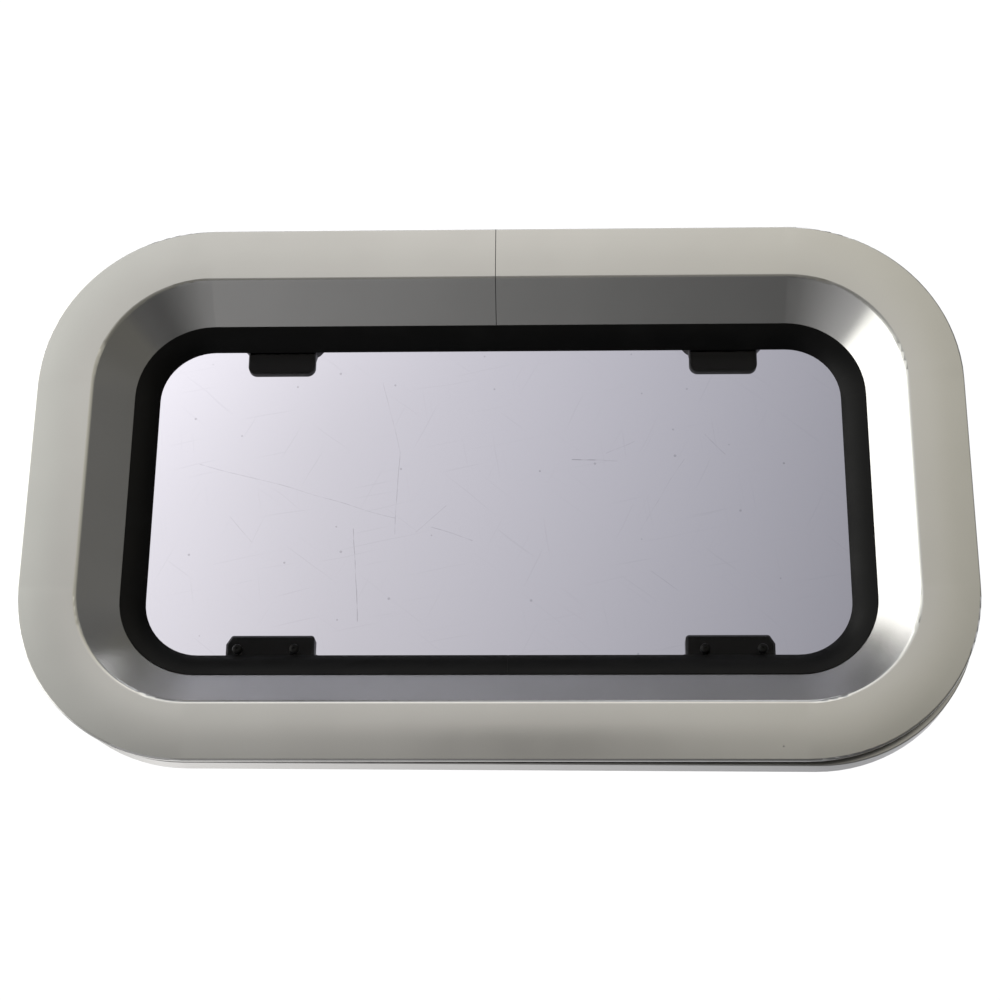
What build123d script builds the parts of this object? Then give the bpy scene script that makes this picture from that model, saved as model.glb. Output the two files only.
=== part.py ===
from build123d import *
import os
from math import cos, radians, sin

os.makedirs("parts", exist_ok=True)

# Opening porthole for a boat hull or cabin side.
# Millimetres. X runs along the window, Z is up, and +Y points from the outside into the cabin.
# The origin is the centre of the window on the back of the outer flange, which is the hull's outside surface.
# Sections are drawn in two lengths: u, the distance in from the outer outline, and
# w, the depth in from the front of the flange. A pair such as RIM_U holds where a wall starts and ends.

# ---- frame extrusion ----
WIDTH = 500.0
HEIGHT = 300.0
CORNER_R = 92.0
WALL_T = 5.0
FLANGE_T = 3.0
FLANGE_W = 30.0
FLANGE_CROWN = 0.5
FLANGE_EDGE_R = 1.0
LIP_R = 3.2
REVEAL_RUN = 20.0
SPIGOT_U = 28.0
SPIGOT_END_W = 17.5
CHANNEL_U = (30.3, 33.7)
CHANNEL_FLOOR_W = 7.6
FIN_U = 35.7
FIN_FLOOR_W = 9.8
RIM_U = (38.0, 40.0)
RIM_END_W = 38.0
RIM_END_R = 0.8
WEB_W = (20.0, 22.5)
SLOT_NECK_U = (43.2, 45.2)
SLOT_HEAD_U = (42.0, 46.4)
SLOT_W = (19.0, 21.0)

# ---- butt joint of the frame ----
SEAM_X = -1.5
SEAM_GAP = 0.38
SEALANT_T = 0.36
SEALANT_INSET = 0.12
KEY_HALF = 30.0
KEY_CLEARANCE = 0.1
KEY_SCREW_X = 18.0
KEY_SCREW_W = 12.5
KEY_SCREW_R = 1.95

# ---- seal and pane ----
SEAL_OUTER_U = 50.2
SEAL_INNER_U = 62.5
SEAL_BACK_W = 28.15
SEAL_LIP_T = 0.9
SEAL_BULGE = 1.1
SEAL_FOOT_GAP = 0.1
SEAL_JOINT_X = 6.0
SEAL_JOINT_W = 0.35
SEAL_JOINT_DEPTH = 0.4
PANE_U = 45.0
PANE_W = (28.3, 36.3)
PANE_CHAMFER = 0.6

# ---- clamp ring ----
RING_T = 3.0
RING_RIM_T = 3.0
RING_PLATE_W = 20.0
RING_INNER_U = 37.6
RING_WIDTH = 490.0
RING_CORNER_R = 84.0
RING_SHIFT = (3.0, -0.2)
RING_TURN = -0.3
RING_FRONT_R = 0.6
RING_BACK_R = 1.2
SCREW_U = 32.0
SCREW_X = 60.0
SCREW_Z = 45.0

# ---- fasteners ----
HEAD_RIM = 0.3
SEAT_GAP = 0.08
RING_SCREW_R = 1.6
RING_SCREW_HEAD_R = 3.9
RING_SCREW_LENGTH = 14.0
RING_SCREW_SUNK = 0.1
FIXING_HALF = 17.0
FIXING_HEAD_R = 3.6
FIXING_HEAD_T = 2.2
FIXING_LENGTH = 19.0
LEAF_SCREW_R = 1.7
LEAF_SCREW_HEAD_R = 3.7
LEAF_SCREW_SUNK = 0.15
LEAF_SCREW_LENGTH = 16.0
BASE_SCREW_R = 1.45
BASE_SCREW_HEAD_R = 2.75
BASE_SCREW_HEAD_T = 1.6
BASE_SCREW_LENGTH = 16.0
SOCKET_R = 1.25
SMALL_SOCKET_R = 1.0

# ---- sash fittings: the hinges and latches are centred on this X ----
FITTINGS_X = 1.2
PLATE_GAP = 0.05
RUN_CLEARANCE = 0.05
GASKET_T = 0.5
WASHER_T = 0.5

# ---- hinges ----
HINGE_X = 123.3
HINGE_Z = 107.0
HINGE_W = 44.0
BARREL_R = 5.0
PIN_R = 2.0
LEAF_WIDTH = 37.6
LEAF_BOTTOM_Z = 77.7
LEAF_TOP_Z = 101.4
LEAF_PAD_T = 4.2
LEAF_CORNER_R = 4.8
LEAF_FLARE = 4.0
LEAF_BARREL = 20.0
LEAF_SCREW_X = 12.0
LEAF_SCREW_Z = 96.5
BRACKET_WIDTH = 42.0
BRACKET_FOOT_WIDTH = 50.0
BRACKET_FOOT_T = 4.0
BRACKET_FOOT_Z = (113.2, 127.0)
BRACKET_SCREW_SUNK = 1.4
CLIP_T = 0.6
CLIP_R = 3.9
CLIP_FROM_END = 0.55

# ---- latches ----
LATCH_X = 122.2
LATCH_Z = -88.0
BASE_WIDTH = 47.2
BASE_TOP_Z = -74.4
BASE_BOTTOM_Z = -101.0
BASE_T = 10.0
BASE_CUT = (3.0, 4.8)
BASE_INNER_R = 1.9
BASE_LOWER_R = 2.5
BASE_SCREW_SPACING = 30.2
BASE_SCREW_OUT = 1.2
BASE_SCREW_Z = -83.9
SPINDLE_R = 3.0
SPINDLE_HEAD_R = 6.0
SPINDLE_HEAD_T = 3.0
SPINDLE_SQUARE = 4.8
SPINDLE_THREAD_R = 2.0
TONGUE_T = 3.0
TONGUE_REACH = 28.0
TONGUE_WIDTH = 12.0
TONGUE_HUB_R = 8.5
SPACER_R = 7.0
HANDLE_T = 9.0
HANDLE_REACH = 52.0
HANDLE_HUB_R = 10.0
HANDLE_TIP_R = 6.0
HANDLE_TIP_LOW = 3.5
HANDLE_TIP_DROP = 2.4
HANDLE_EDGE_R = 1.8
HANDLE_FLOOR_T = 4.6
CAP_R = 5.5
NUT_FLAT_R = 3.5
NUT_T = 2.8

# ---- keepers ----
LIP_T = 2.5
LIP_CLEARANCE = 0.4
KEEPER_LIP_Z = -107.5
KEEPER_LIP_WIDTH = 22.0
KEEPER_WALL_Z = (-125.5, -121.5)
KEEPER_FOOT_WIDTH = 46.0
KEEPER_FOOT_T = 3.0
KEEPER_FOOT_Z = (-126.0, -113.2)

# ---- worked out from the sizes above ----
HALF_W = WIDTH / 2
HALF_H = HEIGHT / 2
RING_W = (RING_PLATE_W, RING_PLATE_W + RING_T)
RING_RIM_W = (FLANGE_T + WALL_T, RING_W[1])
SCREW_LINE_Z = HALF_H - SCREW_U
ON_RING_W = RING_W[1] + PLATE_GAP
ON_PANE_W = PANE_W[1] + PLATE_GAP
GASKET_W = (ON_PANE_W, ON_PANE_W + GASKET_T)
FITTING_W = GASKET_W[1] + PLATE_GAP
BASE_END_W = FITTING_W + BASE_T
TONGUE_W = (BASE_END_W + WASHER_T + 0.1, BASE_END_W + WASHER_T + 0.1 + TONGUE_T)
LIP_W = (TONGUE_W[1] + LIP_CLEARANCE, TONGUE_W[1] + LIP_CLEARANCE + LIP_T)
HANDLE_W = (LIP_W[1] + 1.0, LIP_W[1] + 1.0 + HANDLE_T)
SPACER_W = (TONGUE_W[1] + PLATE_GAP, HANDLE_W[0] - PLATE_GAP)
NUT_FLOOR_W = HANDLE_W[0] + HANDLE_FLOOR_T
NUT_W = (NUT_FLOOR_W + PLATE_GAP, NUT_FLOOR_W + PLATE_GAP + NUT_T)
CAP_W = (NUT_W[1] + 0.4, HANDLE_W[1] + 0.5)


# ---- drawing helpers ----
def y_of(w):
    """Row Y of a depth behind the front of the flange."""
    return w - FLANGE_T


def plate(sketch, w_range):
    """A sketch in (X, Z), given thickness from the first depth to the second."""
    plane = Plane(origin=(0, y_of(w_range[1]), 0), x_dir=(1, 0, 0), z_dir=(0, -1, 0))
    return extrude(plane * sketch, w_range[1] - w_range[0])


def disc(x, z, radius, w_range):
    """A cylinder along Y."""
    return plate(Pos(x, z) * Circle(radius), w_range)


def side_profile(points, x_range):
    """A polygon of (w, z) points, extruded along X."""
    wire = Polyline([(x_range[0], y_of(w), z) for w, z in points], close=True)
    return extrude(make_face(wire), x_range[1] - x_range[0], dir=(1, 0, 0))


def plan_profile(points, z_range):
    """A polygon of (x, w) points, extruded along Z."""
    wire = Polyline([(x, y_of(w), z_range[0]) for x, w in points], close=True)
    return extrude(make_face(wire), z_range[1] - z_range[0], dir=(0, 0, 1))


def rod_x(x_range, w, z, radius):
    """A cylinder along X."""
    start = Plane(origin=(x_range[0], y_of(w), z), x_dir=(0, 1, 0), z_dir=(1, 0, 0))
    return extrude(start * Circle(radius), x_range[1] - x_range[0])


def outline(offset):
    """The rounded rectangle of the window, drawn in by an offset."""
    return RectangleRounded(WIDTH - 2 * offset, HEIGHT - 2 * offset, CORNER_R - offset)


def round_corner(face, point, radius):
    """Fillet the one corner of a flat face that lies at a point."""
    corner = face.vertices().sort_by_distance((point[0], point[1], 0))[0]
    return fillet(corner, radius)


def rim_edges(solid, end):
    """Outer edges of the flat face at the outside end (0) or the cabin end (-1) of a solid."""
    return solid.faces().sort_by(Axis.Y)[end].outer_wire().edges()


def joined(solids):
    """Identical loose pieces that share one node."""
    return Compound(children=list(solids))


# ---- bent sections ----
def to_3d(point):
    """A point (x, z) of the outline on the front plane of the flange."""
    return (point[0], y_of(0), point[1])


def ring_path(joint_x, gap, side):
    """The outer outline as a run that starts and ends at a joint, at the top (1) or bottom (-1)."""
    run_x = HALF_W - CORNER_R
    run_z = HALF_H - CORNER_R
    diagonal = CORNER_R * cos(radians(45))
    edges = []
    here = (joint_x + side * gap / 2, side * HALF_H)
    finish = (joint_x - side * gap / 2, side * HALF_H)
    for sx, sz in ((side, side), (side, -side), (-side, -side), (-side, side)):
        along_x = (sx * run_x, sz * HALF_H)
        along_z = (sx * HALF_W, sz * run_z)
        middle = (sx * (run_x + diagonal), sz * (run_z + diagonal))
        first, last = (along_x, along_z) if sx == sz else (along_z, along_x)
        edges.append(Line(to_3d(here), to_3d(first)))
        edges.append(ThreePointArc(to_3d(first), to_3d(middle), to_3d(last)))
        here = last
    edges.append(Line(to_3d(here), to_3d(finish)))
    return Wire(edges)


def section_plane(x, side):
    """Plane across the extrusion on its straight top (1) or bottom (-1), facing along the run."""
    return Plane(origin=(x, y_of(0), side * HALF_H), x_dir=(0, 0, -side), z_dir=(side, 0, 0))


def bend_round(section, joint_x, gap, side):
    """A section drawn in (u, w), bent round the whole outline from one side of its joint to the other."""
    start = section_plane(joint_x + side * gap / 2, side)
    return sweep(start * section, path=ring_path(joint_x, gap, side))


def frame_section():
    """Section of the extrusion: flange, sloping reveal, screw channel, rim and seal slot."""
    lip = (FLANGE_W + FLANGE_CROWN, FLANGE_CROWN)
    edge = (0, FLANGE_CROWN)
    reveal_u = FLANGE_W + REVEAL_RUN
    rest = Polyline(
        lip,
        (reveal_u, WEB_W[0]),
        (reveal_u, WEB_W[1]),
        (SLOT_NECK_U[1], WEB_W[1]),
        (SLOT_NECK_U[1], SLOT_W[1]),
        (SLOT_HEAD_U[1], SLOT_W[1]),
        (SLOT_HEAD_U[1], SLOT_W[0]),
        (SLOT_HEAD_U[0], SLOT_W[0]),
        (SLOT_HEAD_U[0], SLOT_W[1]),
        (SLOT_NECK_U[0], SLOT_W[1]),
        (SLOT_NECK_U[0], WEB_W[1]),
        (RIM_U[1], WEB_W[1]),
        (RIM_U[1], RIM_END_W),
        (RIM_U[0], RIM_END_W),
        (RIM_U[0], FIN_FLOOR_W + RIM_U[0] - FIN_U),
        (FIN_U, FIN_FLOOR_W),
        (FIN_U, SPIGOT_END_W),
        (CHANNEL_U[1], SPIGOT_END_W),
        (CHANNEL_U[1], CHANNEL_FLOOR_W),
        (CHANNEL_U[0], CHANNEL_FLOOR_W),
        (CHANNEL_U[0], SPIGOT_END_W),
        (SPIGOT_U, SPIGOT_END_W),
        (SPIGOT_U, FLANGE_T),
        (0, FLANGE_T),
        edge,
    )
    crown = ThreePointArc(edge, (FLANGE_W / 2, 0), lip)
    face = make_face([crown, *rest.edges()])
    face = round_corner(face, edge, FLANGE_EDGE_R)
    face = round_corner(face, lip, LIP_R)
    for u in RIM_U:
        face = round_corner(face, (u, RIM_END_W), RIM_END_R)
    return face


def seal_face_arc(depth):
    """The convex visible face of the seal, set back by a depth."""
    start = (SEAL_OUTER_U, WEB_W[0] - 0.3 + depth)
    end = (SEAL_INNER_U, SEAL_BACK_W - SEAL_LIP_T + depth)
    slope = radians(30)
    middle = ((start[0] + end[0]) / 2, (start[1] + end[1]) / 2)
    return ThreePointArc(start, (middle[0] + SEAL_BULGE * sin(slope), middle[1] - SEAL_BULGE * cos(slope)), end)


def seal_section():
    """Section of the rubber seal: a convex visible face, a flat back for the pane, and a T-shaped foot."""
    gap = SEAL_FOOT_GAP
    neck = (SLOT_NECK_U[0] + gap, SLOT_NECK_U[1] - gap)
    head = (SLOT_HEAD_U[0] + gap, SLOT_HEAD_U[1] - gap)
    foot_taper = 0.5
    web = WEB_W[1] + gap
    back = Polyline(
        (SEAL_INNER_U, SEAL_BACK_W - SEAL_LIP_T),
        (SEAL_INNER_U - 0.4, SEAL_BACK_W),
        (RIM_U[1] + 2.0, SEAL_BACK_W),
        (RIM_U[1] + 1.0, web),
        (neck[0], web),
        (neck[0], SLOT_W[1] - gap),
        (head[0], SLOT_W[1] - gap),
        (head[0] + foot_taper, SLOT_W[0] + gap),
        (head[1] - foot_taper, SLOT_W[0] + gap),
        (head[1], SLOT_W[1] - gap),
        (neck[1], SLOT_W[1] - gap),
        (neck[1], web),
        (SEAL_OUTER_U, web),
        (SEAL_OUTER_U, WEB_W[0] - 0.3),
    )
    return make_face([seal_face_arc(0), *back.edges()])


# ---- fasteners ----
def screw(points, shank_r, length, socket_r, socket_depth):
    """A screw along local Z: its head's (r, z) points, a shank down to minus its length, and a hex socket."""
    tip = 0.5 * shank_r
    profile = [(0, 0), *points, (shank_r, -length + tip), (shank_r - tip, -length), (0, -length)]
    body = revolve(make_face(Polyline([(r, 0, z) for r, z in profile], close=True)), Axis.Z)
    return body - extrude(RegularPolygon(socket_r, 6), -socket_depth)


def countersunk_screw(head_r, shank_r, length):
    cone_end = shank_r - head_r - HEAD_RIM
    head = [(head_r, 0), (head_r, -HEAD_RIM), (shank_r, cone_end)]
    return screw(head, shank_r, length, SOCKET_R, 1.4)


def button_screw(head_r, head_t, shank_r, length, socket_r):
    head = [(head_r * 0.55, 0), (head_r * 0.88, -head_t * 0.35), (head_r, -head_t * 0.75)]
    head += [(head_r, -head_t), (shank_r, -head_t)]
    return screw(head, shank_r, length, socket_r, head_t * 0.6)


def fixing_screw():
    """The longer screw that holds a bracket or a keeper through the clamp ring."""
    return button_screw(FIXING_HEAD_R, FIXING_HEAD_T, RING_SCREW_R, FIXING_LENGTH, SOCKET_R)


def countersunk_seat(head_r, shank_r):
    """The recess that a countersunk head sits in, with its rim at local Z 0 and room above it."""
    room_above = 0.6
    rim = -HEAD_RIM - SEAT_GAP
    points = [
        (0, room_above),
        (head_r + SEAT_GAP, room_above),
        (head_r + SEAT_GAP, rim),
        (shank_r + SEAT_GAP, rim - head_r + shank_r),
        (0, rim - head_r + shank_r),
    ]
    return revolve(make_face(Polyline([(r, 0, z) for r, z in points], close=True)), Axis.Z)


def inside_facing(x, w, z):
    """Placement of a screw whose head faces into the cabin."""
    return Plane(origin=(x, y_of(w), z), x_dir=(1, 0, 0), z_dir=(0, 1, 0)).location


def outside_facing(x, w, z):
    """Placement of a screw whose head faces outside."""
    return Plane(origin=(x, y_of(w), z), x_dir=(1, 0, 0), z_dir=(0, -1, 0)).location


# ---- where the fittings and fasteners go; a side is -1 on the left and 1 on the right ----
def hinge_x(side):
    return FITTINGS_X + side * HINGE_X


def latch_x(side):
    return FITTINGS_X + side * LATCH_X


def ring_screw_places():
    """Clamp ring screws on the centre line of the screw channel."""
    side_x = HALF_W - SCREW_U
    corner = (CORNER_R - SCREW_U) * cos(radians(45))
    corner_x = HALF_W - CORNER_R + corner
    corner_z = HALF_H - CORNER_R + corner
    places = [(x, SCREW_LINE_Z) for x in (-SCREW_X, SCREW_X)]
    places += [(x, -SCREW_LINE_Z) for x in (-SCREW_X, 0, SCREW_X)]
    places += [(sx * side_x, z) for sx in (-1, 1) for z in (-SCREW_Z, 0, SCREW_Z)]
    places += [(sx * corner_x, sz * corner_z) for sx in (-1, 1) for sz in (-1, 1)]
    return places


def fixing_places(center_x, z):
    """The two screws that a bracket or a keeper shares with the ring."""
    return [(center_x - FIXING_HALF, z), (center_x + FIXING_HALF, z)]


def bracket_screw_places(side):
    return fixing_places(hinge_x(side), SCREW_LINE_Z)


def keeper_screw_places(side):
    return fixing_places(latch_x(side), -SCREW_LINE_Z)


def base_screw_places(side):
    """The two screws through the pane into a latch base."""
    middle = latch_x(side) + side * BASE_SCREW_OUT
    half = BASE_SCREW_SPACING / 2
    return [(middle - half, BASE_SCREW_Z), (middle + half, BASE_SCREW_Z)]


def leaf_screw_places(side):
    """The two screws through the pane into a hinge leaf, hidden behind the seal."""
    return [(hinge_x(side) + dx, LEAF_SCREW_Z) for dx in (-LEAF_SCREW_X, LEAF_SCREW_X)]


def key_screw_xs():
    return [SEAM_X - KEY_SCREW_X, SEAM_X + KEY_SCREW_X]


# ---- frame pieces ----
def make_outer_frame():
    frame = bend_round(frame_section(), SEAM_X, SEAM_GAP, 1)
    above_channel = HALF_H - SPIGOT_U + 1
    for x in key_screw_xs():
        hole = Cylinder(KEY_SCREW_R + 0.1, 5, align=(Align.CENTER, Align.CENTER, Align.MAX))
        frame -= Pos(x, y_of(KEY_SCREW_W), above_channel) * hole
    return frame


def make_joint_sealant():
    """The sheet of sealant that fills the butt joint, just below the surface."""
    sheet = offset(frame_section(), -SEALANT_INSET)
    return extrude(section_plane(SEAM_X - SEALANT_T / 2, 1) * sheet, SEALANT_T) - make_joint_key()


def make_joint_key():
    """Flat bar in the screw channel that bridges the butt joint of the extrusion."""
    height = CHANNEL_U[1] - CHANNEL_U[0] - 2 * KEY_CLEARANCE
    depth = SPIGOT_END_W - CHANNEL_FLOOR_W - 0.9
    center_w = (SPIGOT_END_W + CHANNEL_FLOOR_W) / 2
    center_z = HALF_H - (CHANNEL_U[0] + CHANNEL_U[1]) / 2
    bar = Pos(SEAM_X, y_of(center_w), center_z) * Box(2 * KEY_HALF, depth, height)
    return chamfer(bar.edges().filter_by(Axis.Z), 0.8)


def make_joint_key_screws():
    """Two socket grub screws through the spigot, down onto the key."""
    top = HALF_H - SPIGOT_U - 0.2
    length = CHANNEL_U[0] - SPIGOT_U - 0.15
    body = Cylinder(KEY_SCREW_R, length, align=(Align.CENTER, Align.CENTER, Align.MAX))
    body -= extrude(RegularPolygon(SMALL_SOCKET_R, 6), -1.2)
    return joined(Pos(x, y_of(KEY_SCREW_W), top) * body for x in key_screw_xs())


def make_trim_ring():
    """Clamp ring on the cabin side: a flat plate, and a deep rim that reaches forward to the hull plate.
    Its outline is a little smaller and squarer than the frame's, and sits a little off its centre, turned."""
    outer = Pos(*RING_SHIFT) * Rot(0, 0, RING_TURN) * RectangleRounded(RING_WIDTH, HEIGHT, RING_CORNER_R)
    ring = plate(outer, RING_RIM_W)
    ring -= plate(offset(outer, -RING_RIM_T), (RING_RIM_W[0], RING_W[0]))
    ring -= plate(outline(RING_INNER_U), RING_W)
    ring = fillet(rim_edges(ring, -1), RING_BACK_R)
    ring = fillet(rim_edges(ring, 0), RING_FRONT_R)
    seat = countersunk_seat(RING_SCREW_HEAD_R, RING_SCREW_R)
    plain_holes = ring_screw_places()
    for side in (-1, 1):
        plain_holes += bracket_screw_places(side) + keeper_screw_places(side)
    for x, z in plain_holes:
        ring -= disc(x, z, RING_SCREW_R + 0.5, RING_W)
    for x, z in ring_screw_places():
        ring -= inside_facing(x, RING_W[1] - RING_SCREW_SUNK, z) * seat
    return ring


def make_trim_ring_screws():
    kind = countersunk_screw(RING_SCREW_HEAD_R, RING_SCREW_R, RING_SCREW_LENGTH)
    return joined(inside_facing(x, RING_W[1] - RING_SCREW_SUNK, z) * kind for x, z in ring_screw_places())


def make_frame_seal():
    """Rubber seal glued end to end, with a fine groove in its face at the glued joint."""
    seal = bend_round(seal_section(), SEAL_JOINT_X, 0, -1)
    above, below = seal_face_arc(-1), seal_face_arc(SEAL_JOINT_DEPTH)
    groove = make_face([above, Line(above @ 1, below @ 1), below, Line(above @ 0, below @ 0)])
    start = section_plane(SEAL_JOINT_X + SEAL_JOINT_W / 2, -1)
    return seal - extrude(start * groove, SEAL_JOINT_W)


def make_pane():
    pane = plate(outline(PANE_U), PANE_W)
    pane = chamfer(rim_edges(pane, 0) + rim_edges(pane, -1), PANE_CHAMFER)
    seat = countersunk_seat(LEAF_SCREW_HEAD_R, LEAF_SCREW_R)
    for side in (-1, 1):
        for x, z in base_screw_places(side):
            pane -= disc(x, z, BASE_SCREW_R + 0.25, PANE_W)
        for x, z in leaf_screw_places(side):
            pane -= disc(x, z, LEAF_SCREW_R + 0.5, PANE_W)
            pane -= outside_facing(x, PANE_W[0] + LEAF_SCREW_SUNK, z) * seat
    return pane


# ---- hinge pieces ----
def make_hinge_leaf(side):
    """Moulded leaf: a pad against the pane, a flared gusset, and the middle barrel of the hinge."""
    center = hinge_x(side)
    half = LEAF_WIDTH / 2
    pad_w = (FITTING_W, FITTING_W + LEAF_PAD_T)
    pad_height = LEAF_TOP_Z - LEAF_BOTTOM_Z
    pad_sketch = Pos(center, LEAF_BOTTOM_Z + pad_height / 2) * Rectangle(LEAF_WIDTH, pad_height)
    pad = plate(fillet(pad_sketch.vertices().group_by(Axis.Y)[0], LEAF_CORNER_R), pad_w)
    low_edges = rim_edges(pad, 0).group_by(Axis.Z)[0:2]
    pad = chamfer(low_edges, 0.7)
    root_w = pad_w[1] - 0.5
    crest_w = HINGE_W + 4.0
    gusset = side_profile(
        [(root_w, 82), (root_w + 2, 86), (crest_w, 93.5), (crest_w, 99.5), (root_w, 99.5)],
        (center - half - LEAF_FLARE, center + half + LEAF_FLARE),
    )
    gusset &= plate(gusset_outline(center), (pad_w[0], crest_w + 1))
    barrel_x = (center - LEAF_BARREL / 2, center + LEAF_BARREL / 2)
    neck = side_profile(
        [(root_w, 98), (crest_w, 98), (HINGE_W + BARREL_R, HINGE_Z), (HINGE_W - BARREL_R, HINGE_Z)],
        barrel_x,
    )
    leaf = pad + gusset + neck + rod_x(barrel_x, HINGE_W, HINGE_Z, BARREL_R)
    leaf -= rod_x(barrel_x, HINGE_W, HINGE_Z, PIN_R + RUN_CLEARANCE)
    for x, z in leaf_screw_places(side):
        leaf -= disc(x, z, LEAF_SCREW_R + 0.05, (FITTING_W, FITTING_W + 9.5))
    return leaf


def gusset_outline(center):
    """Front view of the gusset: a little narrower than the pad at its foot, and flared above."""
    foot = LEAF_WIDTH / 2 - 1.0
    waist = LEAF_WIDTH / 2
    wide = waist + LEAF_FLARE
    right = [(foot, 80), (waist, 92), (wide, 96.5), (wide, 100)]
    left = [(-x, z) for x, z in reversed(right)]
    return make_face(Polyline([(center + x, z) for x, z in right + left], close=True))


def make_hinge_leaf_gasket(side):
    inset = 0.8
    height = LEAF_TOP_Z - LEAF_BOTTOM_Z - 2 * inset
    middle_z = (LEAF_TOP_Z + LEAF_BOTTOM_Z) / 2
    sketch = Pos(hinge_x(side), middle_z) * RectangleRounded(LEAF_WIDTH - 2 * inset, height, 2.5)
    for x, z in leaf_screw_places(side):
        sketch -= Pos(x, z) * Circle(LEAF_SCREW_R + 0.5)
    return plate(sketch, GASKET_W)


def make_hinge_leaf_screws(side):
    kind = countersunk_screw(LEAF_SCREW_HEAD_R, LEAF_SCREW_R, LEAF_SCREW_LENGTH)
    head_w = PANE_W[0] + LEAF_SCREW_SUNK
    return joined(outside_facing(x, head_w, z) * kind for x, z in leaf_screw_places(side))


def make_hinge_bracket(side):
    """Moulded bracket: a foot on the clamp ring, a wall over the rim, and the two outer barrels."""
    center = hinge_x(side)
    half = BRACKET_WIDTH / 2
    foot_w = (ON_RING_W, ON_RING_W + BRACKET_FOOT_T)
    root_w = foot_w[1] - 0.5
    foot_z = BRACKET_FOOT_Z
    foot_sketch = RectangleRounded(BRACKET_FOOT_WIDTH, foot_z[1] - foot_z[0], 2.5)
    body = plate(Pos(center, sum(foot_z) / 2) * foot_sketch, foot_w)
    crest = [(33, 120.5), (HINGE_W + 1, 118.2), (HINGE_W + BARREL_R - 0.8, 114.5)]
    wall = [(root_w, foot_z[0]), (root_w, 125.5), *crest, (HINGE_W + 2, 112.6), (39.5, foot_z[0])]
    body += side_profile(wall, (center - LEAF_BARREL / 2, center + LEAF_BARREL / 2))
    inner = LEAF_BARREL / 2 + WASHER_T + 0.2
    arm = [(root_w, foot_z[0]), (root_w, 121.5), *crest, (HINGE_W + BARREL_R, HINGE_Z)]
    arm += [(HINGE_W - BARREL_R, HINGE_Z), (HINGE_W - BARREL_R, foot_z[0])]
    for s in (-1, 1):
        ends = sorted((center + s * inner, center + s * half))
        body += side_profile(arm, ends) + rod_x(ends, HINGE_W, HINGE_Z, BARREL_R)
    body -= rod_x((center - half, center + half), HINGE_W, HINGE_Z, PIN_R + 0.02)
    leaf_room = (center - LEAF_BARREL / 2 - 0.3, center + LEAF_BARREL / 2 + 0.3)
    body -= rod_x(leaf_room, HINGE_W, HINGE_Z, BARREL_R + 0.5)
    for x, z in bracket_screw_places(side):
        body -= disc(x, z, RING_SCREW_R + 0.4, foot_w)
        body -= disc(x, z, FIXING_HEAD_R + 0.6, (foot_w[1] - BRACKET_SCREW_SUNK, HINGE_W + 10))
    return body


def make_hinge_bracket_screws(side):
    head_w = ON_RING_W + BRACKET_FOOT_T - BRACKET_SCREW_SUNK + FIXING_HEAD_T + 0.02
    return joined(inside_facing(x, head_w, z) * fixing_screw() for x, z in bracket_screw_places(side))


def clip_x_range(side, end):
    """Where the spring clip at one end of a hinge pin starts and ends."""
    middle = hinge_x(side) + end * (BRACKET_WIDTH / 2 + CLIP_FROM_END)
    return (middle - CLIP_T / 2, middle + CLIP_T / 2)


def make_hinge_pin(side):
    half = BRACKET_WIDTH / 2 + 2.2
    pin = rod_x((hinge_x(side) - half, hinge_x(side) + half), HINGE_W, HINGE_Z, PIN_R)
    pin = chamfer(pin.edges(), 0.35)
    for end in (-1, 1):
        start, finish = clip_x_range(side, end)
        groove = (start - 0.1, finish + 0.1)
        pin -= rod_x(groove, HINGE_W, HINGE_Z, PIN_R + 0.1) - rod_x(groove, HINGE_W, HINGE_Z, PIN_R - 0.45)
    return pin


def make_hinge_pin_clips(side):
    """A spring clip at each end of the pin, open on one side."""
    clips = []
    for end in (-1, 1):
        ends = clip_x_range(side, end)
        clip = rod_x(ends, HINGE_W, HINGE_Z, CLIP_R) - rod_x(ends, HINGE_W, HINGE_Z, PIN_R - 0.4)
        mouth = Pos(sum(ends) / 2, y_of(HINGE_W + 2.5), HINGE_Z) * Box(2 * CLIP_T, 5, 2.2)
        clips.append(clip - mouth)
    return joined(clips)


def make_hinge_washers(side):
    """Friction washers between the barrels."""
    washers = []
    for end in (-1, 1):
        face_x = hinge_x(side) + end * (LEAF_BARREL / 2 + 0.1)
        ends = sorted((face_x, face_x + end * WASHER_T))
        washer = rod_x(ends, HINGE_W, HINGE_Z, BARREL_R - 0.3) - rod_x(ends, HINGE_W, HINGE_Z, PIN_R + 0.15)
        washers.append(washer)
    return joined(washers)


# ---- latch pieces ----
def base_sketch(side, inset):
    """Outline of a latch base: a cut outer top corner and small rounds elsewhere."""
    top = BASE_TOP_Z - inset
    bottom = BASE_BOTTOM_Z + inset
    outer = side * (BASE_WIDTH / 2 - inset)
    cut_x, cut_z = BASE_CUT
    points = [(outer, bottom), (outer, top - cut_z), (outer - side * cut_x, top), (-outer, top), (-outer, bottom)]
    face = make_face(Polyline(points, close=True))
    face = round_corner(face, (-outer, top), BASE_INNER_R)
    face = round_corner(face, points[2], BASE_INNER_R)
    face = fillet(face.vertices().group_by(Axis.Y)[0], BASE_LOWER_R)
    return Pos(latch_x(side), 0) * face


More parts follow.
